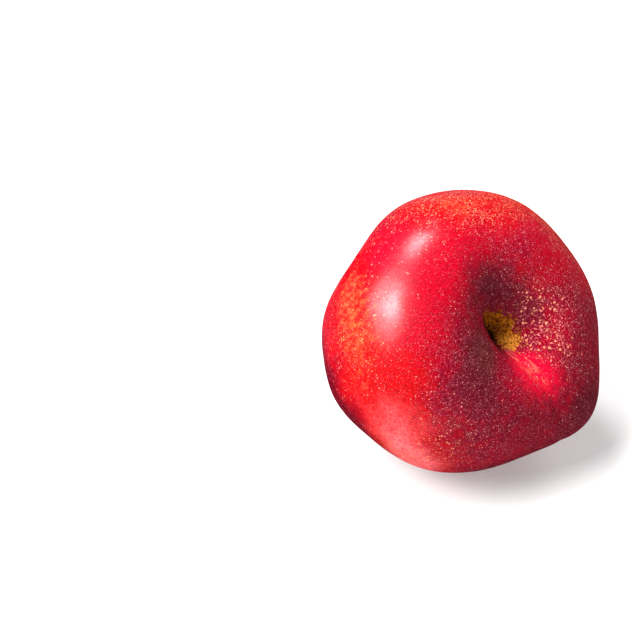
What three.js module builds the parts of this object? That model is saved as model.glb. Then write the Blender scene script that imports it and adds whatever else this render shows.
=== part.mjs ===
// One nectarine as picked: flesh and skin in a single solid, lying on a small flat spot.
// Millimetres, +Z up. The blossom end looks forward (-Y), up and a little to the right (+X).
// The origin is on the ground, under the middle of the fruit's box.

import * as THREE from 'three';

// Body: a squat solid of revolution about the line from the stem scar to the blossom end.
const EQUATOR_RADIUS = 35.8;
const BLOSSOM_HEIGHT = 26.0; // middle to crown, before the blossom basin sinks in
const STEM_HEIGHT = 28.0; // middle to shoulder, before the stem basin sinks in
const PROFILE_POWER = 2.25; // 2 is an ellipse, and more is squarer

// Swellings (height above 0) and flats (below 0) that make this fruit lopsided.
// Polar angles run from the blossom end, azimuths turn about it, and spread is the half width.
const CHEEKS = [
  { place: 'shoulder beside the suture', azimuth: -37, polar: 70, height: 3.0, spread: 12 },
  { place: 'upper left flat', azimuth: 145, polar: 111, height: -2.8, spread: 13 },
  { place: 'front underside flat', azimuth: -70, polar: 92, height: -2.8, spread: 17 },
  { place: 'lower left shoulder', azimuth: -150, polar: 116, height: 1.4, spread: 12 },
  { place: 'left cheek', azimuth: 176, polar: 118, height: 0.8, spread: 14 },
  { place: 'right flat', azimuth: 0, polar: 62, height: -0.8, spread: 14 },
  { place: 'upper right flat', azimuth: 42, polar: 68, height: -1.2, spread: 14 },
  { place: 'lower left flat', azimuth: -125, polar: 112, height: -0.6, spread: 14 },
  { place: 'heel above the ground', azimuth: -80, polar: 140, height: 2.0, spread: 14 },
];

// Left and right below are as seen from outside, going out from the middle line.

// Blossom end: a broad basin, and in it a fold that is steep on its right and open on its left.
const BLOSSOM_BASIN = { depth: 8.5, reach: 12.5 };
const BLOSSOM_FOLD = {
  depth: 5.5, azimuth: -50, shift: 1.6, halfLength: 6.5, left: 7.0, right: 2.1,
};

// Stem end: a broad basin with the round scar of the stalk, a shallow dish inside a low rim.
const STEM_BASIN = { depth: 8.0, reach: 12.0 };
const STEM_DISH = { depth: 0.9, radius: 4.9 };
const STEM_RIM = { height: 0.45, radius: 5.6, width: 0.8 };

// Suture: a narrow crease from end to end, in a wider valley on the blossom side.
// It leaves the blossom fold to the right of the middle line and comes straight at the stem scar.
const SUTURE_AZIMUTH = -48;
const SUTURE_SHIFT = 3.2;
const SUTURE_VALLEY = { depth: 2.6, polar: 33, spread: 20, left: 5.0, right: 7.0 };
const SUTURE_CREASE = { depth: 0.2, width: 1.5 };
const CREASE_AT_BLOSSOM = { depth: 0.5, polar: 36, spread: 22 };
const CREASE_AT_STEM = { depth: 0.8, polar: 148, spread: 20 };

// Trough: the basin runs out in a shallow hollow on the far side from the suture.
const TROUGH_AZIMUTH = 105;
const TROUGH = { depth: 1.6, polar: 35, spread: 18, left: 7.0, right: 7.0 };

// Suture and trough begin this far from the middle line, over this length.
const LANE_START = 2.5;
const LANE_EASE = 1.0;

// Pose: the middle line leans from the line of sight, which drops towards the ground.
const SIGHT_ELEVATION = 36;
const LEAN = 27; // between the line of sight and the blossom end
const LEAN_TURN = 8; // of the lean's direction, up from level

// Ground: the underside is pressed flat to this depth, with a soft edge.
const FLAT_DEPTH = 1.5;
const FLAT_EDGE = 0.3;

// Facets: rings crowd towards both ends, and meridians crowd towards the suture.
const RINGS = 44;
const MERIDIANS = 84;
const RING_CROWDING = 0.45;
const MERIDIAN_CROWDING = 0.45;

const SKIN = { color: 0xa01c2e, roughness: 0.36, metalness: 0 };

const radians = THREE.MathUtils.degToRad;
const bell = (distance, reach) => Math.exp(-((distance / reach) ** 2));

const direction = (azimuth, polar) => new THREE.Vector3(
  Math.sin(polar) * Math.cos(azimuth),
  Math.sin(polar) * Math.sin(azimuth),
  Math.cos(polar),
);

// Distance from the fruit's middle to its skin, before anything is sunk into it.
function bodyRadius(toSkin, polar) {
  const cap = Math.cos(polar) > 0 ? BLOSSOM_HEIGHT : STEM_HEIGHT;
  const across = (Math.sin(polar) / EQUATOR_RADIUS) ** PROFILE_POWER;
  const along = (Math.abs(Math.cos(polar)) / cap) ** PROFILE_POWER;
  let radius = (across + along) ** (-1 / PROFILE_POWER);
  for (const cheek of CHEEKS) {
    const middle = direction(radians(cheek.azimuth), radians(cheek.polar));
    radius += cheek.height * Math.exp((toSkin.dot(middle) - 1) / radians(cheek.spread) ** 2);
  }
  return radius;
}

// A lane goes out at an azimuth, shifted to the right of the middle line.
// The result is how far along the lane and to its left a point is.
function lanePlace(point, azimuth, shift) {
  const turn = radians(azimuth);
  return {
    along: point.x * Math.cos(turn) + point.y * Math.sin(turn),
    leftward: point.y * Math.cos(turn) - point.x * Math.sin(turn) + shift,
  };
}

const laneStrength = (along) => 1 / (1 + Math.exp((LANE_START - along) / LANE_EASE));
const unevenBell = (leftward, left, right) => bell(leftward, leftward > 0 ? left : right);

function valleyDepth(valley, place, polarDegrees) {
  return valley.depth * laneStrength(place.along)
    * unevenBell(place.leftward, valley.left, valley.right)
    * bell(polarDegrees - valley.polar, valley.spread);
}

function creaseDepth(place, polarDegrees) {
  let depth = SUTURE_CREASE.depth;
  for (const end of [CREASE_AT_BLOSSOM, CREASE_AT_STEM]) {
    depth += end.depth * bell(polarDegrees - end.polar, end.spread);
  }
  return depth * laneStrength(place.along) * bell(place.leftward, SUTURE_CREASE.width);
}

function blossomDepth(point) {
  const fold = lanePlace(point, BLOSSOM_FOLD.azimuth, BLOSSOM_FOLD.shift);
  const basin = BLOSSOM_BASIN.depth * bell(Math.hypot(point.x, point.y), BLOSSOM_BASIN.reach);
  return basin + BLOSSOM_FOLD.depth * bell(fold.along, BLOSSOM_FOLD.halfLength)
    * unevenBell(fold.leftward, BLOSSOM_FOLD.left, BLOSSOM_FOLD.right);
}

function stemDepth(point) {
  const fromScar = Math.hypot(point.x, point.y);
  return STEM_BASIN.depth * bell(fromScar, STEM_BASIN.reach)
    + STEM_DISH.depth * Math.exp(-((fromScar / STEM_DISH.radius) ** 8))
    - STEM_RIM.height * bell(fromScar - STEM_RIM.radius, STEM_RIM.width);
}

// A point of the skin in the fruit's own frame, with the blossom end along +Z.
function skinPoint(azimuth, polar) {
  const toSkin = direction(azimuth, polar);
  const point = toSkin.clone().multiplyScalar(bodyRadius(toSkin, polar));
  const polarDegrees = THREE.MathUtils.radToDeg(polar);
  const sutureShift = SUTURE_SHIFT * (1 + Math.cos(polar)) / 2;
  const suture = lanePlace(point, SUTURE_AZIMUTH, sutureShift);
  const trough = lanePlace(point, TROUGH_AZIMUTH, 0);
  const sunk = valleyDepth(SUTURE_VALLEY, suture, polarDegrees)
    + creaseDepth(suture, polarDegrees)
    + valleyDepth(TROUGH, trough, polarDegrees);
  const ends = Math.cos(polar) > 0 ? -blossomDepth(point) : stemDepth(point);
  point.addScaledVector(toSkin, -sunk);
  point.z += ends;
  return point;
}

// The blossom end's direction when the fruit lies on the ground, and the frame about it.
function poseMatrix() {
  const elevation = radians(SIGHT_ELEVATION);
  const right = new THREE.Vector3(1, 0, 0);
  const up = new THREE.Vector3(0, Math.sin(elevation), Math.cos(elevation));
  const towards = new THREE.Vector3(0, -Math.cos(elevation), Math.sin(elevation));
  const sideways = right.clone().multiplyScalar(Math.cos(radians(LEAN_TURN)))
    .addScaledVector(up, Math.sin(radians(LEAN_TURN)));
  const blossom = towards.clone().multiplyScalar(Math.cos(radians(LEAN)))
    .addScaledVector(sideways, Math.sin(radians(LEAN)));
  const across = right.clone().addScaledVector(blossom, -right.dot(blossom)).normalize();
  const third = new THREE.Vector3().crossVectors(blossom, across);
  return new THREE.Matrix4().makeBasis(across, third, blossom);
}

// Height above the ground once the underside is pressed flat.
function pressedHeight(height) {
  if (height <= -FLAT_EDGE) return 0;
  if (height >= FLAT_EDGE) return height;
  return (height + FLAT_EDGE) ** 2 / (4 * FLAT_EDGE);
}

function layDown(geometry) {
  geometry.applyMatrix4(poseMatrix());
  geometry.computeBoundingBox();
  const middle = geometry.boundingBox.getCenter(new THREE.Vector3());
  const ground = geometry.boundingBox.min.z + FLAT_DEPTH;
  geometry.translate(-middle.x, -middle.y, -ground);
  const position = geometry.getAttribute('position');
  for (let i = 0; i < position.count; i++) {
    position.setZ(i, pressedHeight(position.getZ(i)));
  }
}

function skinPositions() {
  const positions = [...skinPoint(0, 0)];
  for (let ring = 1; ring < RINGS; ring++) {
    const down = ring / RINGS;
    const polar = Math.PI * down - (RING_CROWDING / 2) * Math.sin(2 * Math.PI * down);
    for (let meridian = 0; meridian < MERIDIANS; meridian++) {
      const turn = 2 * Math.PI * (meridian / MERIDIANS);
      const azimuth = radians(SUTURE_AZIMUTH) + turn - MERIDIAN_CROWDING * Math.sin(turn);
      positions.push(...skinPoint(azimuth, polar));
    }
  }
  positions.push(...skinPoint(0, Math.PI));
  return positions;
}

function skinFaces() {
  const faces = [];
  const stemTip = 1 + (RINGS - 1) * MERIDIANS;
  const corner = (ring, meridian) => 1 + (ring - 1) * MERIDIANS + (meridian % MERIDIANS);
  for (let meridian = 0; meridian < MERIDIANS; meridian++) {
    faces.push(0, corner(1, meridian), corner(1, meridian + 1));
    faces.push(stemTip, corner(RINGS - 1, meridian + 1), corner(RINGS - 1, meridian));
    for (let ring = 1; ring < RINGS - 1; ring++) {
      const a = corner(ring, meridian);
      const b = corner(ring + 1, meridian);
      const c = corner(ring + 1, meridian + 1);
      const d = corner(ring, meridian + 1);
      faces.push(a, b, c, a, c, d);
    }
  }
  return faces;
}

function nectarine() {
  const geometry = new THREE.BufferGeometry();
  geometry.setAttribute('position', new THREE.Float32BufferAttribute(skinPositions(), 3));
  geometry.setIndex(skinFaces());
  layDown(geometry);
  geometry.computeVertexNormals();
  const mesh = new THREE.Mesh(geometry, new THREE.MeshStandardMaterial(SKIN));
  mesh.name = 'nectarine';
  return mesh;
}

const fruit = new THREE.Group();
fruit.add(nectarine());

export default fruit;
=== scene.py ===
"""The looks of one nectarine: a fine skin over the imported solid, its colours, floor, light and camera.

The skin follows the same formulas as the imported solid, in millimetres, and is then set in metres.
"""

import bpy
import numpy as np
from mathutils import Matrix, Vector, noise


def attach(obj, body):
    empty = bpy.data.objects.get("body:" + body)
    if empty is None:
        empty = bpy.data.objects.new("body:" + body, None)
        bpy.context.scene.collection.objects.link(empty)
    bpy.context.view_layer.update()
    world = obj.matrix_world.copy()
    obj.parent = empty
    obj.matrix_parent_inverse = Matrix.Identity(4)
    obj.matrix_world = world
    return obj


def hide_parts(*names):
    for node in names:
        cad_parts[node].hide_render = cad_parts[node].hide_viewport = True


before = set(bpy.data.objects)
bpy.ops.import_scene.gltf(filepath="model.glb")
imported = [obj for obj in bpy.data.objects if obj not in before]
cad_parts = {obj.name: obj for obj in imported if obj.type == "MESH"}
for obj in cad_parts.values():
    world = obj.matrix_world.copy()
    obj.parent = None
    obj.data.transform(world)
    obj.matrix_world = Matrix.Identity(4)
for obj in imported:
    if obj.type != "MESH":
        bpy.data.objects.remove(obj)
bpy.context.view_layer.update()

NODE = "nectarine"
MM = 0.001

# ---------------------------------------------------------------- shape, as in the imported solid
# Millimetres and degrees. The middle line runs from the stem scar to the blossom end. Polar angles
# run from the blossom end, and azimuths turn about it. Left and right are as seen from outside,
# going out from the middle line.

EQUATOR_RADIUS = 35.8
BLOSSOM_HEIGHT = 26.0  # middle to crown, before the blossom basin sinks in
STEM_HEIGHT = 28.0  # middle to shoulder, before the stem basin sinks in
PROFILE_POWER = 2.25  # 2 is an ellipse, and more is squarer

# Swellings (height above 0) and flats (below 0): azimuth, polar angle, height, spread.
CHEEKS = (
    (-37, 70, 3.0, 12),  # shoulder beside the suture
    (145, 111, -2.8, 13),  # upper left flat
    (-70, 92, -2.8, 17),  # front underside flat
    (-150, 116, 1.4, 12),  # lower left shoulder
    (176, 118, 0.8, 14),  # left cheek
    (0, 62, -0.8, 14),  # right flat
    (42, 68, -1.2, 14),  # upper right flat
    (-125, 112, -0.6, 14),  # lower left flat
    (-80, 140, 2.0, 14),  # heel above the ground
)

# Blossom end: a broad basin, and in it a fold that is steep on its right and open on its left.
BLOSSOM_BASIN = dict(depth=8.5, reach=12.5)
BLOSSOM_FOLD = dict(depth=5.5, azimuth=-50, shift=1.6, half_length=6.5, left=7.0, right=2.1)

# Stem end: a broad basin with the round scar of the stalk, a shallow dish inside a low rim.
STEM_BASIN = dict(depth=8.0, reach=12.0)
STEM_DISH = dict(depth=0.9, radius=4.9, steepness=8)
STEM_RIM = dict(height=0.45, radius=5.6, width=0.8)

# Suture: a narrow crease from end to end, in a wider valley on the blossom side.
SUTURE_AZIMUTH = -48
SUTURE_SHIFT = 3.2
SUTURE_VALLEY = dict(depth=2.6, polar=33, spread=20, left=5.0, right=7.0)
SUTURE_CREASE = dict(depth=0.2, width=1.5)
CREASE_AT_BLOSSOM = dict(depth=0.5, polar=36, spread=22)
CREASE_AT_STEM = dict(depth=0.8, polar=148, spread=20)

# Trough: the basin runs out in a shallow hollow on the far side from the suture.
TROUGH_AZIMUTH = 105
TROUGH = dict(depth=1.6, polar=35, spread=18, left=7.0, right=7.0)

# Suture and trough begin this far from the middle line, over this length.
LANE_START = 2.5
LANE_EASE = 1.0

# Pose: the blossom end leans away from the line of sight, which drops towards the ground.
SIGHT_ELEVATION = 36
LEAN = 27
LEAN_TURN = 8  # of the lean's direction, up from level

# Ground: the underside is pressed flat to this depth, with a soft edge.
FLAT_DEPTH = 1.5
FLAT_EDGE = 0.3

# ---------------------------------------------------------------- finer shape, only in the skin

# Rings crowd towards both ends, and meridians crowd towards the suture.
RINGS = 228
MERIDIANS = 420
RING_CROWDING = 0.45
MERIDIAN_CROWDING = 0.30

LUMPS = ((11.0, 0.16), (4.5, 0.05))  # size and height of the skin's soft unevenness
PIT = dict(azimuth=128, polar=65, radius=1.2, depth=0.16)  # a small old dent

# ---------------------------------------------------------------- colours, linear red, green, blue

# The blush, from bright to dark, and what shows through it.
SCARLET = (0.56, 0.0010, 0.0020, 1)
CRIMSON = (0.54, 0.0008, 0.0220, 1)
MAROON = (0.280, 0.0018, 0.0270, 1)
DUSK = (0.125, 0.0070, 0.0240, 1)  # a purple brown
# the dark red round the stem scar, also used as painted shadow along the limbs
WINE_AND_SHADOW = (0.105, 0.0010, 0.0100, 1)
SHADED_REFLECTION = (0.145, 0.0240, 0.0280, 1)  # painted shade with a greyish painted reflection, on the bank of the blossom fold
GROUND = (0.80, 0.16, 0.050, 1)  # the orange skin under the blush
PALE_AND_BOUNCE_LIGHT = (0.92, 0.185, 0.195, 1)  # where the blush is thin, and painted bounce light from the floor low on the left
FLECK = (0.13, 0.0006, 0.0030, 1)  # the finest dark flecks
MAUVE = (0.44, 0.085, 0.110, 1)  # the light threads between the flecks

# Lenticels and specks.
SMALL_DOT = (0.72, 0.19, 0.23, 1)
DOT = (0.86, 0.31, 0.28, 1)  # middling lenticels, and the specks on crimson
LARGE_DOT = (0.97, 0.37, 0.22, 1)
GOLD = (1.00, 0.47, 0.18, 1)  # the specks on scarlet
HALO = (0.06, 0.0006, 0.0020, 1)  # the dark ring round each

# The suture: its bright bank, partly brighter red skin and partly painted light on the valley's lit
# wall, the bank's streaks, and the line that meets the stem scar.
PINK_AND_PAINTED_LIGHT = (0.74, 0.002, 0.040, 1)
SALMON = (0.95, 0.28, 0.17, 1)
SEAM = (0.56, 0.09, 0.07, 1)

# The fold: cork with pale strands on a dark bed, and painted shade on the fold's floor.
RUSSET_DARK = (0.13, 0.028, 0.004, 1)
RUSSET_LIGHT = (0.56, 0.20, 0.014, 1)
RUSSET_GOLD = (0.86, 0.35, 0.055, 1)
FOLD_SHADE = (0.030, 0.004, 0.004, 1)

# The stem scar: its dish, the marks in the dish, and its rim.
SCAR_GREEN = (0.30, 0.36, 0.020, 1)
SCAR_YELLOW = (0.62, 0.58, 0.060, 1)
SCAR_DARK = (0.055, 0.110, 0.010, 1)
SCAR_BROWN = (0.10, 0.050, 0.012, 1)
SCAR_RIM = (0.56, 0.31, 0.11, 1)

# ---------------------------------------------------------------- where the colours go

# Zones of the skin, each a few soft spots: azimuth, polar angle, spread (degrees), strength.
ZONES = {
    # where the blush is crimson rather than scarlet
    "crimson": (
        (146, 68, 10, 1.0),
        (36, 48, 14, 0.9),
        (72, 46, 10, 0.8),
        (0, 34, 14, 0.8),
        (-150, 24, 12, 0.6),
        (118, 44, 12, 0.9),
        (160, 42, 12, 0.7),
        (-176, 50, 12, 0.5),
        (-100, 34, 12, 1.0),
        (-60, 30, 18, 1.0),
        (-60, 110, 30, 0.8),
        (80, 130, 34, 1.0),
    ),
    # where it is maroon, and painted shadow along the top and upper-left limbs
    "maroon": (
        (-170, 6, 20, 1.0),
        (-10, 8, 10, 0.7),
        (-140, 34, 14, 0.45),
        (-132, 47, 9, 0.8),
        (4, 62, 9, 0.4),
        (-32, 42, 8, 0.6),
        (22, 38, 8, 0.5),
        (-4, 48, 9, 0.4),
        (-99, 54, 13, 1.0),
        (-66, 64, 15, 1.0),
        (-20, 66, 18, 1.0),
        (14, 52, 12, 0.15),
        (88, 38, 9, 0.6),
        (42, 27, 7, 0.3),
        # painted shadow along the top and upper-left limb
        (113, 85, 7, 0.4),
        (98, 79, 6, 0.4),
        (136, 92, 8, 0.35),
        (-60, 100, 30, 0.9),
        (20, 118, 28, 1.0),
        (150, 150, 42, 1.0),
        (-146, 142, 24, 1.0),
    ),
    # where it is darkest
    "dusk": (
        (128, 28, 11, 0.75),
        (-146, 27, 8, 0.9),
        (-124, 36, 9, 0.8),
        (98, 24, 9, 0.42),
        (62, 18, 7, 0.55),
        (16, 17, 6, 0.7),
        (-60, 74, 14, 0.6),
        (-20, 82, 14, 0.9),
        (-38, 60, 8, 1.0),
        (-112, 57, 10, 0.35),
        (-96, 44, 9, 0.25),
        (-140, 47, 7, 0.3),
    ),
    # where painted shade with a greyish painted reflection lies on the fold's flank
    "shaded_reflection": (
        (-160, 20, 6, 0.4),
        (-142, 21, 6, 0.8),
        (-128, 28, 6, 0.5),
    ),
    # where it is a dark wine red, and painted shadow along the lower-left and upper-left limbs
    "wine": (
        # painted shadow along the lower-left limb
        (-158, 115, 10, 0.65),
        (-146, 112, 11, 0.75),
        (-132, 109, 10, 0.65),
        (-146, 136, 24, 0.5),
        # painted shadow along the upper-left limb
        (148, 112, 16, 0.5),
        (112, 102, 14, 0.3),
        (-72, 77, 8, 1.0),
        (-88, 80, 8, 0.9),
        (-54, 76, 8, 0.8),
        (170, 160, 30, 0.5),
    ),
    # where blotches of the ground colour show
    "mottle": (
        (174, 81, 13, 0.75),
        (162, 86, 7, 0.45),
        (-166, 76, 12, 0.5),
        (-150, 86, 10, 0.3),
        (108, 64, 10, 0.75),
        (66, 62, 8, 0.6),
        (44, 64, 9, 0.7),
        (-124, 90, 12, 0.8),
        (178, 134, 16, 0.5),
        (95, 112, 22, 0.6),
        (-20, 130, 24, 0.7),
    ),
    # where the blush thins out evenly, and painted bounce light from the floor low on the left
    "pale": (
        (-113, 89, 7, 1.0),
        (-122, 84, 7, 0.8),
        (-132, 77, 10, 0.35),
        (-142, 76, 9, 0.35),
        (120, 122, 14, 0.25),
    ),
    # where fine specks of the ground colour crowd together
    "speckle": (
        (114, 67, 7, 1.0),
        (104, 60, 7, 0.7),
        (92, 69, 8, 1.0),
        (76, 65, 7, 0.9),
        (60, 62, 8, 1.0),
        (40, 62, 8, 1.0),
        (16, 62, 9, 0.5),
        (-2, 28, 12, 0.5),
        (26, 32, 10, 0.5),
        (-28, 36, 8, 0.5),
        (-118, 63, 6, 0.6),
        (-150, 26, 9, 0.15),
        (-178, 80, 13, 0.25),
        (-116, 84, 7, 0.6),
        (110, 95, 22, 0.8),
    ),
    # where the lenticels are large
    "large_dots": (
        (0, 20, 8, 1.0),
        (36, 21, 6, 0.8),
        (-20, 28, 7, 0.8),
    ),
    # where there are hardly any lenticels
    "plain": (
        (172, 72, 13, 0.85),
        (150, 76, 13, 0.80),
        (-128, 92, 15, 0.9),
        (148, 94, 13, 1.0),
        (134, 77, 9, 0.8),
        (152, 50, 8, 0.5),
        (-155, 104, 15, 1.0),
        (-50, 30, 6, 0.8),
        (-48, 48, 7, 0.9),
        (-143, 60, 9, 0.45),
        (-72, 68, 10, 0.7),
        (150, 165, 26, 1.0),
    ),
    # where the wax has gone
    "dull": (
        (-8, 13, 9, 1.0),
        (-40, 14, 6, 0.6),
        (128, 92, 12, 0.7),
        (154, 92, 11, 0.9),
        (-158, 102, 12, 0.9),
    ),
    # where the skin is corky
    "russet": (
        (140, 12, 2.4, 0.9),
        (107, 6, 3.0, 1.0),
        (20, 5.5, 4.0, 1.0),
        (-42, 9.5, 3.7, 1.0),
    ),
    # where the cork is palest
    "gold": (
        (-62, 10, 3, 1.0),
        (-36, 13, 4, 1.0),
    ),
    # painted shade on the floor of the fold
    "hollow": (
        (-160, 3, 3.6, 1.0),
        (-110, 5, 2.6, 0.9),
        (150, 8, 3.0, 0.8),
    ),
}

# Strips beside the suture, in mm: the middle and the reach along it, the middle's distance to its
# left, and the width to either side, each with how much it widens per mm along the suture.
BANK = dict(along=12.5, reach=8.5, leftward=1.0, left=(1.8, 0.26), right=(2.6, 0.22))
STREAKED_BANK = dict(along=10.0, reach=8.5, leftward=1.2, left=(1.1, 0.08), right=(1.1, 0.08))
SEAM_LINE = dict(along=13.0, reach=8.0, leftward=0.0, left=(0.6, 0.0), right=(0.6, 0.0))
STRIP_END = 30.0  # a strip widens no further than this

STREAK_STRETCH = 6  # how many times longer than wide the streaks are
FAR_FROM_SCAR = 99.0  # mm, for the whole blossom side

# ---------------------------------------------------------------- patterns of the skin

# Lenticels and specks: cell size and radius in mm, share of cells that have one.
SMALL_DOTS = dict(cell=0.38, radius=0.118, share=1.00)
MIDDLE_DOTS = dict(cell=0.90, radius=0.175, share=0.60)
LARGE_DOTS = dict(cell=1.00, radius=0.31, share=0.80)
SMALL_SPECKS = dict(cell=0.44, radius=0.165, share=1.00)
MIDDLE_SPECKS = dict(cell=0.80, radius=0.20, share=0.60)

# Soft edges of a dot and of its halo, from where to where, in radii of the dot.
DOT_EDGE = (0.6, 1.25)
HALO_EDGE = (1.0, 2.4)

# Noises over the skin: size in mm, detail, roughness.
NOISES = {
    "broad": (7.0, 4.0, 0.6),
    "wavy": (5.0, 4.0, 0.6),
    "dot_patches": (4.0, 4.0, 0.7),
    "patchy": (2.4, 4.0, 0.6),
    "speck_clouds": (2.4, 4.0, 0.7),
    "bank_edge": (1.6, 4.0, 0.65),
    "blotches": (1.5, 5.0, 0.85),
    "cloudy": (1.3, 3.0, 0.6),
    "cork_edge": (1.1, 4.0, 0.80),
    "thin_spots": (1.0, 4.0, 0.8),
    "cork_strands": (0.60, 4.0, 0.85),
    "frosting": (0.5, 1.5, 0.6),
    "fine": (0.45, 1.5, 0.6),
    "grain": (0.35, 3.0, 0.6),
    "scar_shades": (2.0, 3.0, 0.7),
    "scar_patches": (1.4, 3.0, 0.6),
    "scar_marks": (1.1, 3.0, 0.6),
}
NOISE_MIDDLE = 0.5

# Noises that are stretched along the suture and out from the stem scar: scale, detail, roughness.
BANK_STREAKS = (1.8, 3.0, 0.65)
SCAR_RAYS = (26.0, 3.0, 0.6)

# How a noise breaks up the edge of each zone: the noise, how strongly it does,
# and the strengths between which the zone sets in.
EDGES = {
    "crimson": ("broad", 1.0, 0.10, 0.90),
    "maroon": ("broad", 0.8, 0.15, 0.95),
    "dusk": ("patchy", 0.9, 0.10, 1.10),
    "shaded_reflection": ("patchy", 0.4, 0.10, 1.10),
    "wine": ("broad", 0.8, 0.05, 1.05),
    "pale": ("wavy", 0.9, 0.05, 1.10),
    "bank": ("bank_edge", 1.0, 0.15, 0.85),
    "streaked": ("bank_edge", 0.5, 0.35, 0.85),
    "russet": ("cork_edge", 2.8, 0.42, 0.62),
    "seam": ("scar_patches", 0.9, 0.20, 0.90),
}

# Smooth steps: the readings between which each one goes, and what it gives at both.
STEPS = {
    # the blush: maroon by patches, flecks, threads, and thin spots in the pale zone
    "maroon_by_patch": (0.32, 0.56, 0.54, 1.0),
    "maroon_clouds": (0.45, 0.70, 0.0, 0.15),
    "flecks": (0.36, 0.54, 0.52, 0.0),
    "threads": (0.50, 0.62, 0.0, 1.0),
    "threads_by_maroon": (0.0, 0.8, 0.02, 0.34),
    "threads_by_patch": (0.40, 0.58, 0.25, 1.0),
    "thin_spots": (0.36, 0.62, 0.35, 1.0),
    # the ground colour: the bar that a blotch has to pass is lower inside the zone
    "mottle_bar": (0.0, 1.0, 0.76, 0.47),
    "mottle": (-0.06, 0.20, 0.0, 0.74),
    "speck_clouds": (0.38, 0.60, 0.10, 1.20),
    # lenticels: how large, how strong and how crowded they are
    "dot_shrinks": (0.0, 1.0, 1.4, 0.9),
    "dot_strength": (-0.2, 1.2, 0.2, 1.0),
    "dot_patches": (0.34, 0.60, 0.70, 1.15),
    "dots_on_plain": (0.0, 1.0, 1.0, 0.15),
    "dots_by_maroon": (0.0, 0.7, 0.50, 1.00),
    "halos_on_pale": (0.0, 0.6, 0.4, 0.1),
    # the suture's bank
    "bank_streaks": (0.47, 0.60, 0.0, 1.0),
    # the cork: kept to its zone, with strands that pass a lower bar where it is palest
    "russet_limit": (0.03, 0.15, 0.0, 1.0),
    "strand_bar": (0.0, 1.0, 0.035, 0.0),
    "strands": (0.42, 0.50, 0.0, 1.0),
    # the stem scar, by distance from its middle in mm
    "round_scar": (7.0, 21.0, 0.9, 0.0),
    "scar_rim": (5.7, 6.1, 1.0, 0.0),
    "dish": (5.1, 5.4, 1.0, 0.0),
    "dish_edge": (4.3, 5.0, 0.0, 1.0),
    "dish_middle": (1.0, 3.4, 1.0, 0.0),
    # the stem scar's patterns
    "scar_rays": (0.48, 0.66, 0.0, 1.0),
    "dish_yellow": (0.40, 0.60, 0.0, 1.0),
    "dish_dark": (0.52, 0.60, 0.0, 1.0),
    "dish_marks": (0.55, 0.62, 0.0, 1.0),
    # the gloss
    "roughness": (0.3, 0.7, 0.45, 0.60),
    "wax": (0.38, 0.62, 1.25, 0.75),
}

# How far each colour covers what is under it, at most.
BANK_COVER = 0.95
STREAK_COVER = 0.54
SPECK_COVER = 0.9
SPECK_HALO_COVER = 0.9
SCAR_RAY_COVER = 0.40
SEAM_COVER = 0.45

SCAR_WOBBLE = 1.2  # mm, from the innermost to the outermost place of the scar's outline
RUSSET_ROUGHNESS = 0.85
DOT_DULLNESS = 0.6  # how much of the wax a middling lenticel takes away
RELIEF = dict(grain=0.006, large_dot=0.03, cork=0.12)  # mm
WAX_WEIGHT = 0.20
WAX_ROUGHNESS = 0.29

# ---------------------------------------------------------------- picture, floor and light

PHOTO_PIXELS = 640
FRUIT_MIDDLE_PIXEL = (465, 333)
FRAME_WIDTH = 160.0  # mm across the picture, at the fruit's middle
SENSOR = 36.0
LENS = 85.0
NEAREST_SEEN = 0.01  # m
GAMMA = 0.88

FLOOR_SIZE = 6.0  # m
FLOOR_COLOUR = (0.58, 0.58, 0.58, 1)
FLOOR_ROUGHNESS = 0.9
FLOOR_SPECULAR = 0.1
# The floor's own glow, which thins the shadow: distances from the fruit (m) and strengths there.
FLOOR_GLOW = (0.30, 1.30, 0.36, 0.80)
WHITE = (1, 1, 1, 1)

LIGHT_DISTANCE = 1.6  # m
# Direction from the fruit, width and height (m), power (W).
SOFT_LIGHTS = {
    "key": dict(towards=(-0.63, -0.29, 0.72), size=(1.00, 1.40), power=50),
    "top": dict(towards=(-0.27, 0.34, 0.90), size=(0.60, 0.60), power=20),
    "back": dict(towards=(0.55, 0.62, 0.56), size=(0.90, 0.90), power=10),
}
# These only add to the gloss, and the soft ones add nothing to it.
GLOSS_LIGHTS = {
    "key_core": dict(towards=(-0.60, -0.39, 0.70), size=(0.32, 0.40), power=52),
    "key_bloom": dict(towards=(-0.72, -0.28, 0.64), size=(1.40, 1.15), power=148),
    "top_core": dict(towards=(-0.26, 0.25, 0.93), size=(0.36, 0.36), power=38),
    "top_bloom": dict(towards=(-0.26, 0.28, 0.92), size=(0.75, 0.75), power=34),
}
# The sky's brightness by height: -1 straight down, 0 at the horizon and 1 overhead.
SKY = ((-0.12, 0.10), (-0.05, 0.95), (0.02, 0.75), (0.25, 0.24))

# ---------------------------------------------------------------- the skin's shape


def bell(distance, reach):
    return np.exp(-((distance / reach) ** 2))


def direction(azimuth, polar):
    return np.stack(
        [np.sin(polar) * np.cos(azimuth), np.sin(polar) * np.sin(azimuth), np.cos(polar)], axis=-1
    )


def closeness(to_skin, azimuth, polar, spread):
    """1 at a place on the skin, given in degrees, and falling to 0 over its spread."""
    middle = direction(np.radians(azimuth), np.radians(polar))
    return np.exp((to_skin @ middle - 1) / np.radians(spread) ** 2)


def body_radius(to_skin, polar):
    """Distance from the fruit's middle to its skin, before anything is sunk into it."""
    cap = np.where(np.cos(polar) > 0, BLOSSOM_HEIGHT, STEM_HEIGHT)
    across = (np.sin(polar) / EQUATOR_RADIUS) ** PROFILE_POWER
    along = (np.abs(np.cos(polar)) / cap) ** PROFILE_POWER
    radius = (across + along) ** (-1 / PROFILE_POWER)
    for azimuth, polar_degrees, height, spread in CHEEKS:
        radius = radius + height * closeness(to_skin, azimuth, polar_degrees, spread)
    return radius


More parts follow.
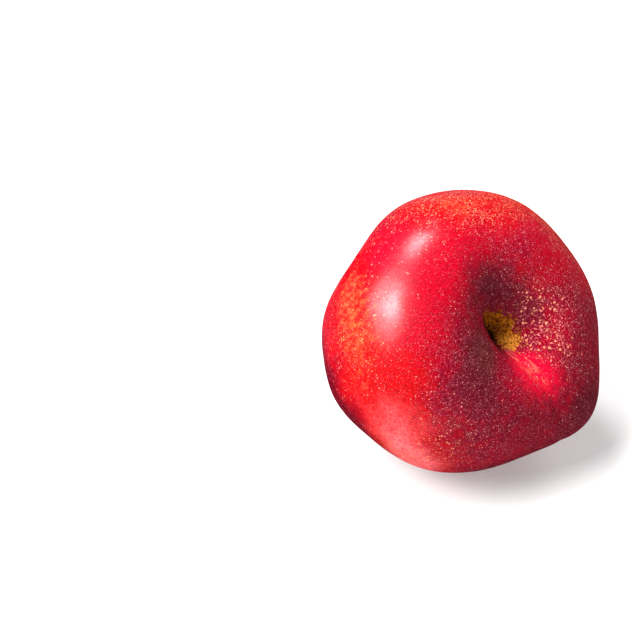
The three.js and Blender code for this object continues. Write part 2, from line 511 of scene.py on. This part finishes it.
def lane_place(points, azimuth, shift):
    """How far points are along a lane from the middle line, and to its left."""
    turn = np.radians(azimuth)
    along = points[:, 0] * np.cos(turn) + points[:, 1] * np.sin(turn)
    leftward = points[:, 1] * np.cos(turn) - points[:, 0] * np.sin(turn) + shift
    return along, leftward


def lane_strength(along):
    return 1 / (1 + np.exp((LANE_START - along) / LANE_EASE))


def uneven_bell(leftward, left, right):
    return bell(leftward, np.where(leftward > 0, left, right))


def valley_depth(valley, along, leftward, polar_degrees):
    return (
        valley["depth"]
        * lane_strength(along)
        * uneven_bell(leftward, valley["left"], valley["right"])
        * bell(polar_degrees - valley["polar"], valley["spread"])
    )


def crease_depth(along, leftward, polar_degrees):
    depth = SUTURE_CREASE["depth"]
    for end in (CREASE_AT_BLOSSOM, CREASE_AT_STEM):
        depth = depth + end["depth"] * bell(polar_degrees - end["polar"], end["spread"])
    return depth * lane_strength(along) * bell(leftward, SUTURE_CREASE["width"])


def blossom_depth(points):
    along, leftward = lane_place(points, BLOSSOM_FOLD["azimuth"], BLOSSOM_FOLD["shift"])
    from_middle = np.hypot(points[:, 0], points[:, 1])
    basin = BLOSSOM_BASIN["depth"] * bell(from_middle, BLOSSOM_BASIN["reach"])
    sides = uneven_bell(leftward, BLOSSOM_FOLD["left"], BLOSSOM_FOLD["right"])
    return basin + BLOSSOM_FOLD["depth"] * bell(along, BLOSSOM_FOLD["half_length"]) * sides


def stem_depth(points):
    from_scar = np.hypot(points[:, 0], points[:, 1])
    dish = np.exp(-((from_scar / STEM_DISH["radius"]) ** STEM_DISH["steepness"]))
    return (
        STEM_BASIN["depth"] * bell(from_scar, STEM_BASIN["reach"])
        + STEM_DISH["depth"] * dish
        - STEM_RIM["height"] * bell(from_scar - STEM_RIM["radius"], STEM_RIM["width"])
    )


def suture_place(points, polar):
    """How far points are along the suture from the middle line, and to its left."""
    return lane_place(points, SUTURE_AZIMUTH, SUTURE_SHIFT * (1 + np.cos(polar)) / 2)


def pit_depth(to_skin):
    spread = np.degrees(PIT["radius"] / EQUATOR_RADIUS)
    return PIT["depth"] * closeness(to_skin, PIT["azimuth"], PIT["polar"], spread)


def unevenness(to_skin):
    """Soft lumps that no formula of the body has, in mm."""
    height = np.zeros(len(to_skin))
    for size, amount in LUMPS:
        scale = EQUATOR_RADIUS / size
        height += amount * np.array([noise.noise(Vector(spot)) for spot in to_skin * scale])
    return height


def skin_grid():
    """Polar angle and azimuth of every vertex: the blossom tip, the rings, the stem tip."""
    down = np.arange(1, RINGS) / RINGS
    ring_polar = np.pi * down - RING_CROWDING / 2 * np.sin(2 * np.pi * down)
    turn = 2 * np.pi * np.arange(MERIDIANS) / MERIDIANS
    ring_azimuth = np.radians(SUTURE_AZIMUTH) + turn - MERIDIAN_CROWDING * np.sin(turn)
    polar = np.concatenate(([0.0], np.repeat(ring_polar, MERIDIANS), [np.pi]))
    azimuth = np.concatenate(([0.0], np.tile(ring_azimuth, RINGS - 1), [0.0]))
    return polar, azimuth


def skin_points(polar, azimuth):
    """The skin in the fruit's own frame, in mm, with the blossom end along +Z."""
    to_skin = direction(azimuth, polar)
    points = to_skin * body_radius(to_skin, polar)[:, None]
    polar_degrees = np.degrees(polar)
    suture_along, suture_left = suture_place(points, polar)
    trough_along, trough_left = lane_place(points, TROUGH_AZIMUTH, 0)
    sunk = (
        valley_depth(SUTURE_VALLEY, suture_along, suture_left, polar_degrees)
        + crease_depth(suture_along, suture_left, polar_degrees)
        + valley_depth(TROUGH, trough_along, trough_left, polar_degrees)
        + pit_depth(to_skin)
        - unevenness(to_skin)
    )
    ends = np.where(np.cos(polar) > 0, -blossom_depth(points), stem_depth(points))
    points = points - to_skin * sunk[:, None]
    points[:, 2] += ends
    return points


def sight_frame():
    """Right, up and towards the viewer, along the line of sight that the pose is given in."""
    elevation = np.radians(SIGHT_ELEVATION)
    right = np.array([1.0, 0.0, 0.0])
    up = np.array([0.0, np.sin(elevation), np.cos(elevation)])
    towards = np.array([0.0, -np.cos(elevation), np.sin(elevation)])
    return right, up, towards


def pose_axes():
    """The fruit's own x, y and z axes as rows, as it lies on the ground."""
    right, up, towards = sight_frame()
    turn = np.radians(LEAN_TURN)
    lean = np.radians(LEAN)
    sideways = np.cos(turn) * right + np.sin(turn) * up
    blossom = np.cos(lean) * towards + np.sin(lean) * sideways
    across = right - (right @ blossom) * blossom
    across = across / np.linalg.norm(across)
    return np.stack([across, np.cross(blossom, across), blossom])


def pressed_height(height):
    """Height above the ground once the underside is pressed flat."""
    soft = (height + FLAT_EDGE) ** 2 / (4 * FLAT_EDGE)
    return np.where(height <= -FLAT_EDGE, 0.0, np.where(height >= FLAT_EDGE, height, soft))


def lay_down(points):
    """Turns the points to their pose over the ground. The second result is the fruit's middle."""
    points = points @ pose_axes()
    low = points.min(axis=0)
    high = points.max(axis=0)
    middle = -(low + high) / 2
    middle[2] = -(low[2] + FLAT_DEPTH)
    points = points + middle
    points[:, 2] = pressed_height(points[:, 2])
    return points, middle


def skin_faces():
    """Triangles round both tips, and rows of four-cornered faces between the rings."""
    stem_tip = 1 + (RINGS - 1) * MERIDIANS
    here = np.arange(MERIDIANS)
    after = (here + 1) % MERIDIANS
    faces = [(0, 1 + a, 1 + b) for a, b in zip(here.tolist(), after.tolist())]
    for ring in range(RINGS - 2):
        upper = 1 + ring * MERIDIANS
        lower = upper + MERIDIANS
        quads = np.stack([upper + here, lower + here, lower + after, upper + after], axis=1)
        faces.extend(map(tuple, quads.tolist()))
    last = stem_tip - MERIDIANS
    faces.extend((stem_tip, last + b, last + a) for a, b in zip(here.tolist(), after.tolist()))
    return faces


# ---------------------------------------------------------------- facts the skin's material reads


def zone_strength(name, to_skin):
    total = sum(
        strength * closeness(to_skin, azimuth, polar, spread)
        for azimuth, polar, spread, strength in ZONES[name]
    )
    return np.clip(total, 0, 1)


def strip_strength(strip, along, leftward):
    """1 in the middle of a strip beside the suture, and falling to 0 around it."""
    far = np.clip(along, 0, STRIP_END)
    left, left_widening = strip["left"]
    right, right_widening = strip["right"]
    across = uneven_bell(
        leftward - strip["leftward"], left + left_widening * far, right + right_widening * far
    )
    return bell(along - strip["along"], strip["reach"]) * across


def scar_distance(own_points, polar):
    """Millimetres from the middle of the stem scar, and far away on the blossom side."""
    from_scar = np.hypot(own_points[:, 0], own_points[:, 1])
    return np.where(np.cos(polar) > 0, FAR_FROM_SCAR, from_scar)


def add_number(mesh, name, values):
    attribute = mesh.attributes.new(name, "FLOAT", "POINT")
    attribute.data.foreach_set("value", np.asarray(values, dtype=np.float32))


def add_vector(mesh, name, *columns):
    attribute = mesh.attributes.new(name, "FLOAT_VECTOR", "POINT")
    values = np.stack(columns, axis=1)
    attribute.data.foreach_set("vector", np.asarray(values, dtype=np.float32).ravel())


def add_facts(mesh, polar, azimuth, own_points):
    """Writes the zones, the strips and two streaky directions to the skin's vertices."""
    to_skin = direction(azimuth, polar)
    for name in ZONES:
        add_number(mesh, name, zone_strength(name, to_skin))
    along, leftward = suture_place(own_points, polar)
    blossom_side = np.cos(polar) > 0
    stem_side = np.cos(polar) < 0
    add_number(mesh, "bank", strip_strength(BANK, along, leftward) * blossom_side)
    add_number(mesh, "streaked", strip_strength(STREAKED_BANK, along, leftward) * blossom_side)
    add_number(mesh, "seam", strip_strength(SEAM_LINE, along, leftward) * stem_side)
    add_number(mesh, "scar_mm", scar_distance(own_points, polar))
    add_vector(mesh, "rays", np.cos(azimuth), np.sin(azimuth), polar / STREAK_STRETCH)
    add_vector(mesh, "lane_mm", along / STREAK_STRETCH, leftward, np.zeros_like(along))


# ---------------------------------------------------------------- materials


# The Mix node's sockets for two colours and for their blend.
FIRST_COLOUR = 6
SECOND_COLOUR = 7
BLENDED_COLOUR = 2


class Recipe:
    """The nodes of one material, added by short calls that hand back output sockets."""

    def __init__(self, name):
        self.material = bpy.data.materials.new(name)
        self.material.use_nodes = True
        self.tree = self.material.node_tree
        self.shader = self.tree.nodes["Principled BSDF"]
        self.place = self.tree.nodes.new("ShaderNodeTexCoord").outputs["Object"]
        self.noises = {}

    def feed(self, socket, value):
        """Joins a socket to an output, or sets it to a plain value."""
        if isinstance(value, bpy.types.NodeSocket):
            self.tree.links.new(value, socket)
        else:
            socket.default_value = value

    def attribute(self, name, output="Fac"):
        node = self.tree.nodes.new("ShaderNodeAttribute")
        node.attribute_name = name
        return node.outputs[output]

    def math(self, operation, a, b):
        node = self.tree.nodes.new("ShaderNodeMath")
        node.operation = operation
        self.feed(node.inputs[0], a)
        self.feed(node.inputs[1], b)
        return node.outputs[0]

    def times(self, a, b):
        return self.math("MULTIPLY", a, b)

    def plus(self, a, b):
        return self.math("ADD", a, b)

    def minus(self, a, b):
        return self.math("SUBTRACT", a, b)

    def larger(self, a, b):
        return self.math("MAXIMUM", a, b)

    def ease(self, value, low, high, start, end):
        """A smooth step from start to end as value goes from low to high."""
        node = self.tree.nodes.new("ShaderNodeMapRange")
        node.interpolation_type = "SMOOTHSTEP"
        self.feed(node.inputs["Value"], value)
        self.feed(node.inputs["From Min"], low)
        self.feed(node.inputs["From Max"], high)
        self.feed(node.inputs["To Min"], start)
        self.feed(node.inputs["To Max"], end)
        return node.outputs["Result"]

    def step(self, name, value):
        """One of the STEPS."""
        return self.ease(value, *STEPS[name])

    def blend(self, share, a, b):
        """Colour a, covered by colour b as far as share says."""
        node = self.tree.nodes.new("ShaderNodeMix")
        node.data_type = "RGBA"
        self.feed(node.inputs["Factor"], share)
        self.feed(node.inputs[FIRST_COLOUR], a)
        self.feed(node.inputs[SECOND_COLOUR], b)
        return node.outputs[BLENDED_COLOUR]

    def noise(self, name):
        """One of the NOISES over the skin, made when it is first asked for."""
        if name not in self.noises:
            size_mm, detail, roughness = NOISES[name]
            scale = 1 / (size_mm * MM)
            self.noises[name] = self.noise_along(self.place, scale, detail, roughness)
        return self.noises[name]

    def noise_along(self, vector, scale, detail, roughness):
        """A noise that follows any vector."""
        node = self.tree.nodes.new("ShaderNodeTexNoise")
        self.feed(node.inputs["Vector"], vector)
        node.inputs["Scale"].default_value = scale
        node.inputs["Detail"].default_value = detail
        node.inputs["Roughness"].default_value = roughness
        return node.outputs["Fac"]

    def cells(self, size_mm):
        """Distance to the nearest cell's middle, in cells, and two random numbers of that cell."""
        node = self.tree.nodes.new("ShaderNodeTexVoronoi")
        self.feed(node.inputs["Vector"], self.place)
        node.inputs["Scale"].default_value = 1 / (size_mm * MM)
        numbers = self.tree.nodes.new("ShaderNodeSeparateColor")
        self.feed(numbers.inputs[0], node.outputs["Color"])
        return node.outputs["Distance"], numbers.outputs[0], numbers.outputs[1]

    def bump(self, height_mm):
        node = self.tree.nodes.new("ShaderNodeBump")
        node.inputs["Distance"].default_value = MM
        self.feed(node.inputs["Height"], height_mm)
        self.feed(self.shader.inputs["Normal"], node.outputs["Normal"])
        self.feed(self.shader.inputs["Coat Normal"], node.outputs["Normal"])


def ragged(recipe, zone):
    """A soft zone whose edge is broken up by a noise."""
    noise_name, amount, low, high = EDGES[zone]
    shift = recipe.times(recipe.minus(recipe.noise(noise_name), NOISE_MIDDLE), amount)
    return recipe.ease(recipe.plus(recipe.attribute(zone), shift), low, high, 0.0, 1.0)


def blush(recipe):
    """The red of the skin, from scarlet to dusk, with fine flecks and threads in it, painted shadow
    along the limbs, and painted shade and reflection on the fold's flank.
    """
    patchy = recipe.noise("patchy")
    colour = recipe.blend(ragged(recipe, "crimson"), SCARLET, CRIMSON)
    deep = recipe.times(ragged(recipe, "maroon"), recipe.step("maroon_by_patch", patchy))
    deep = recipe.plus(deep, recipe.step("maroon_clouds", recipe.noise("cloudy")))
    colour = recipe.blend(deep, colour, MAROON)
    colour = recipe.blend(ragged(recipe, "dusk"), colour, DUSK)
    # painted shade with a greyish painted reflection on the fold's flank
    colour = recipe.blend(ragged(recipe, "shaded_reflection"), colour, SHADED_REFLECTION)
    # dark wine red, and painted shadow along the limbs
    colour = recipe.blend(ragged(recipe, "wine"), colour, WINE_AND_SHADOW)
    fine = recipe.noise("fine")
    colour = recipe.blend(recipe.step("flecks", fine), colour, FLECK)
    light = recipe.step("threads_by_maroon", recipe.attribute("maroon"))
    light = recipe.times(light, recipe.step("threads_by_patch", patchy))
    light = recipe.times(light, recipe.step("threads", fine))
    return recipe.blend(light, colour, MAUVE)


def thin_blush(recipe, colour):
    """Lets the pale skin through evenly, with painted floor bounce light low on the left, and the orange
    ground colour in soft blotches.
    """
    thin = recipe.step("thin_spots", recipe.noise("thin_spots"))
    # the pale skin, and painted floor bounce light low on the left
    colour = recipe.blend(recipe.times(ragged(recipe, "pale"), thin), colour, PALE_AND_BOUNCE_LIGHT)
    bar = recipe.step("mottle_bar", recipe.attribute("mottle"))
    blotches = recipe.minus(recipe.noise("blotches"), bar)
    return recipe.blend(recipe.step("mottle", blotches), colour, GROUND)


def suture_colour(recipe, colour):
    """The bright bank of the suture, partly brighter red and partly painted light on the valley's lit
    wall, streaked along it.
    """
    # brighter red, and painted light on the suture valley's lit wall
    colour = recipe.blend(recipe.times(ragged(recipe, "bank"), BANK_COVER), colour, PINK_AND_PAINTED_LIGHT)
    streaks = recipe.noise_along(recipe.attribute("lane_mm", "Vector"), *BANK_STREAKS)
    streaks = recipe.times(recipe.step("bank_streaks", streaks), ragged(recipe, "streaked"))
    return recipe.blend(recipe.times(streaks, STREAK_COVER), colour, SALMON)


def dots(recipe, kind, density):
    """Spots in some of the cells, each with a size and a strength of its own, and their halos."""
    distance, number, strength = recipe.cells(kind["cell"])
    distance = recipe.times(distance, recipe.step("dot_shrinks", strength))
    radius = kind["radius"] / kind["cell"]
    spot = recipe.ease(distance, radius * DOT_EDGE[0], radius * DOT_EDGE[1], 1.0, 0.0)
    halo = recipe.ease(distance, radius * HALO_EDGE[0], radius * HALO_EDGE[1], 1.0, 0.0)
    present = recipe.math("LESS_THAN", number, recipe.times(density, kind["share"]))
    present = recipe.times(present, recipe.step("dot_strength", strength))
    return recipe.times(spot, present), recipe.times(halo, present)


def specks(recipe):
    """Fine spots of the ground colour that crowd together in clouds, and their halos."""
    clouds = recipe.step("speck_clouds", recipe.noise("speck_clouds"))
    density = recipe.times(recipe.attribute("speckle"), clouds)
    small, small_halo = dots(recipe, SMALL_SPECKS, density)
    middle, middle_halo = dots(recipe, MIDDLE_SPECKS, density)
    return recipe.larger(small, middle), recipe.larger(small_halo, middle_halo)


def lenticels(recipe):
    """The small, the middling and the large lenticels, and the halos of them all."""
    patches = recipe.step("dot_patches", recipe.noise("dot_patches"))
    bare = recipe.step("dots_on_plain", recipe.attribute("plain"))
    density = recipe.times(patches, bare)
    small, small_halo = dots(recipe, SMALL_DOTS, density)
    middle, middle_halo = dots(recipe, MIDDLE_DOTS, density)
    large, large_halo = dots(recipe, LARGE_DOTS, recipe.attribute("large_dots"))
    halo = recipe.larger(small_halo, recipe.larger(middle_halo, large_halo))
    return small, middle, large, halo


def dotted_colour(recipe, colour, small, middle, large, halo):
    """Adds the specks and the lenticels, over their dark halos."""
    speck, speck_halo = specks(recipe)
    halo = recipe.larger(halo, recipe.times(speck_halo, SPECK_HALO_COVER))
    halo = recipe.times(halo, recipe.step("halos_on_pale", recipe.attribute("pale")))
    colour = recipe.blend(halo, colour, HALO)
    speck_colour = recipe.blend(recipe.attribute("crimson"), GOLD, DOT)
    colour = recipe.blend(recipe.times(speck, SPECK_COVER), colour, speck_colour)
    contrast = recipe.step("dots_by_maroon", recipe.attribute("maroon"))
    colour = recipe.blend(recipe.times(small, contrast), colour, SMALL_DOT)
    colour = recipe.blend(recipe.times(middle, contrast), colour, DOT)
    return recipe.blend(large, colour, LARGE_DOT)


def russet_share(recipe):
    """Cork with a frayed edge, kept close to its zone."""
    limit = recipe.step("russet_limit", recipe.attribute("russet"))
    return recipe.times(ragged(recipe, "russet"), limit)


def russet_colour(recipe):
    """Pale strands of cork on a dark bed, palest in the gold zone."""
    bar = recipe.step("strand_bar", recipe.attribute("gold"))
    light = recipe.blend(recipe.attribute("gold"), RUSSET_LIGHT, RUSSET_GOLD)
    strands = recipe.step("strands", recipe.minus(recipe.noise("cork_strands"), bar))
    return recipe.blend(strands, RUSSET_DARK, light)


def dish_colour(recipe, from_scar, outline):
    """The yellow-green dish of the stem scar, dark along its edge and marked in its middle."""
    yellow = recipe.step("dish_yellow", recipe.noise("scar_patches"))
    dish = recipe.blend(yellow, SCAR_GREEN, SCAR_YELLOW)
    dish = recipe.blend(recipe.step("dish_dark", recipe.noise("scar_shades")), dish, SCAR_DARK)
    marks = recipe.step("dish_marks", recipe.noise("scar_marks"))
    marks = recipe.times(marks, recipe.step("dish_middle", from_scar))
    dish = recipe.blend(marks, dish, SCAR_BROWN)
    return recipe.blend(recipe.step("dish_edge", outline), dish, SCAR_DARK)


def scar_colour(recipe, colour):
    """Wine red with rays round the stem scar, the seam that meets it, its tan rim and its dish."""
    from_scar = recipe.attribute("scar_mm")
    near = recipe.step("round_scar", from_scar)
    colour = recipe.blend(near, colour, WINE_AND_SHADOW)
    rays = recipe.noise_along(recipe.attribute("rays", "Vector"), *SCAR_RAYS)
    rays = recipe.times(recipe.step("scar_rays", rays), near)
    colour = recipe.blend(recipe.times(rays, SCAR_RAY_COVER), colour, CRIMSON)
    colour = recipe.blend(recipe.times(ragged(recipe, "seam"), SEAM_COVER), colour, SEAM)
    wobble = recipe.times(recipe.minus(recipe.noise("scar_patches"), NOISE_MIDDLE), SCAR_WOBBLE)
    outline = recipe.plus(from_scar, wobble)
    colour = recipe.blend(recipe.step("scar_rim", outline), colour, SCAR_RIM)
    dish = dish_colour(recipe, from_scar, outline)
    return recipe.blend(recipe.step("dish", outline), colour, dish)


def set_gloss(recipe, russet, middle_dots):
    """Matt skin under a thin wax, which carries all the gloss and is gone from cork and dull zones."""
    rough = recipe.step("roughness", recipe.noise("grain"))
    rough = recipe.larger(recipe.times(russet, RUSSET_ROUGHNESS), rough)
    recipe.feed(recipe.shader.inputs["Roughness"], rough)
    recipe.shader.inputs["Specular IOR Level"].default_value = 0.0
    dull = recipe.larger(russet, recipe.attribute("dull"))
    dull = recipe.larger(dull, recipe.times(middle_dots, DOT_DULLNESS))
    wax = recipe.times(recipe.step("wax", recipe.noise("frosting")), WAX_WEIGHT)
    wax = recipe.times(wax, recipe.minus(1.0, dull))
    recipe.feed(recipe.shader.inputs["Coat Weight"], wax)
    recipe.shader.inputs["Coat Roughness"].default_value = WAX_ROUGHNESS


def set_relief(recipe, russet, large_dots):
    """Bump for the skin's grain, the large lenticels and the cork."""
    grain = recipe.noise("grain")
    relief = recipe.times(grain, RELIEF["grain"])
    relief = recipe.plus(relief, recipe.times(large_dots, RELIEF["large_dot"]))
    cork = recipe.times(russet, recipe.times(grain, RELIEF["cork"]))
    recipe.bump(recipe.plus(relief, cork))


def skin_material():
    """The blush, the suture, the dots, the fold and the stem scar, laid over each other in turn."""
    recipe = Recipe("nectarine_skin")
    small, middle, large, halo = lenticels(recipe)
    russet = russet_share(recipe)
    colour = thin_blush(recipe, blush(recipe))
    colour = suture_colour(recipe, colour)
    colour = dotted_colour(recipe, colour, small, middle, large, halo)
    # painted shade on the fold's floor
    colour = recipe.blend(recipe.attribute("hollow"), colour, FOLD_SHADE)
    colour = recipe.blend(russet, colour, russet_colour(recipe))
    colour = scar_colour(recipe, colour)
    recipe.feed(recipe.shader.inputs["Base Color"], colour)
    set_gloss(recipe, russet, middle)
    set_relief(recipe, russet, large)
    return recipe.material


def floor_material():
    """A pale matt floor that glows more the farther it is from the fruit."""
    recipe = Recipe("pale_floor")
    recipe.shader.inputs["Base Color"].default_value = FLOOR_COLOUR
    recipe.shader.inputs["Roughness"].default_value = FLOOR_ROUGHNESS
    recipe.shader.inputs["Specular IOR Level"].default_value = FLOOR_SPECULAR
    distance = recipe.tree.nodes.new("ShaderNodeVectorMath")
    distance.operation = "LENGTH"
    recipe.feed(distance.inputs[0], recipe.place)
    glow = recipe.ease(distance.outputs["Value"], *FLOOR_GLOW)
    recipe.shader.inputs["Emission Color"].default_value = WHITE
    recipe.feed(recipe.shader.inputs["Emission Strength"], glow)
    return recipe.material


# ---------------------------------------------------------------- things in the scene


def add_object(name, data):
    thing = bpy.data.objects.new(name, data)
    bpy.context.scene.collection.objects.link(thing)
    return thing


def make_skin():
    """The fruit's skin in metres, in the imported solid's place. Gives back the fruit's middle."""
    polar, azimuth = skin_grid()
    own_points = skin_points(polar, azimuth)
    points, middle = lay_down(own_points)
    mesh = bpy.data.meshes.new("nectarine_skin")
    mesh.from_pydata((points * MM).tolist(), [], skin_faces())
    mesh.update()
    mesh.shade_smooth()
    add_facts(mesh, polar, azimuth, own_points)
    mesh.materials.append(skin_material())
    skin = add_object("nectarine_skin", mesh)
    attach(skin, "root")
    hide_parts(NODE)
    return middle * MM


def make_floor():
    half = FLOOR_SIZE / 2
    corners = [(-half, -half, 0), (half, -half, 0), (half, half, 0), (-half, half, 0)]
    mesh = bpy.data.meshes.new("floor")
    mesh.from_pydata(corners, [], [(0, 1, 2, 3)])
    mesh.materials.append(floor_material())
    floor = add_object("floor", mesh)
    floor.visible_glossy = False


def make_light(name, facts, middle):
    """A round or oval lamp that faces the fruit's middle."""
    lamp = bpy.data.lights.new(name, "AREA")
    lamp.shape = "ELLIPSE"
    lamp.size, lamp.size_y = facts["size"]
    lamp.energy = facts["power"]
    towards = Vector(facts["towards"]).normalized()
    light = add_object(name, lamp)
    light.location = Vector(middle) + towards * LIGHT_DISTANCE
    light.rotation_euler = towards.to_track_quat("Z", "Y").to_euler()
    return light


def make_lights(middle):
    for name, facts in SOFT_LIGHTS.items():
        make_light(name, facts, middle).visible_glossy = False
    for name, facts in GLOSS_LIGHTS.items():
        make_light(name, facts, middle).visible_diffuse = False


def fill_sky_ramp(ramp):
    """Puts the SKY on a colour ramp that runs from straight down to overhead."""
    ramp.elements.remove(ramp.elements[1])
    for number, (height, brightness) in enumerate(SKY):
        position = (height + 1) / 2
        if number == 0:
            stop = ramp.elements[0]
            stop.position = position
        else:
            stop = ramp.elements.new(position)
        stop.color = (brightness, brightness, brightness, 1)


def make_world():
    """Pale near the horizon, and dimmer overhead and underneath."""
    world = bpy.data.worlds.new("studio")
    world.use_nodes = True
    tree = world.node_tree
    coordinates = tree.nodes.new("ShaderNodeTexCoord")
    axes = tree.nodes.new("ShaderNodeSeparateXYZ")
    share = tree.nodes.new("ShaderNodeMapRange")
    share.inputs["From Min"].default_value = -1.0
    share.inputs["From Max"].default_value = 1.0
    ramp = tree.nodes.new("ShaderNodeValToRGB")
    fill_sky_ramp(ramp.color_ramp)
    tree.links.new(coordinates.outputs["Generated"], axes.inputs[0])
    tree.links.new(axes.outputs["Z"], share.inputs["Value"])
    tree.links.new(share.outputs["Result"], ramp.inputs["Fac"])
    tree.links.new(ramp.outputs["Color"], tree.nodes["Background"].inputs["Color"])
    bpy.context.scene.world = world


def make_camera(middle):
    """A lens along the line of sight, placed so that the fruit's middle falls on its pixel."""
    right, up, towards = sight_frame()
    pixel = FRAME_WIDTH / PHOTO_PIXELS
    rightward = (FRUIT_MIDDLE_PIXEL[0] - PHOTO_PIXELS / 2) * pixel
    upward = (PHOTO_PIXELS / 2 - FRUIT_MIDDLE_PIXEL[1]) * pixel
    distance = FRAME_WIDTH * LENS / SENSOR
    location = middle + (towards * distance - right * rightward - up * upward) * MM
    lens = bpy.data.cameras.new("camera")
    lens.lens = LENS
    lens.sensor_width = SENSOR
    lens.clip_start = NEAREST_SEEN
    camera = add_object("camera", lens)
    matrix = Matrix.Identity(4)
    for column, axis in enumerate((right, up, towards, location)):
        for row in range(3):
            matrix[row][column] = axis[row]
    camera.matrix_world = matrix
    bpy.context.scene.camera = camera


def set_view():
    settings = bpy.context.scene.view_settings
    settings.view_transform = "Standard"
    settings.gamma = GAMMA


set_view()
fruit_middle = make_skin()
make_floor()
make_lights(fruit_middle)
make_world()
make_camera(fruit_middle)
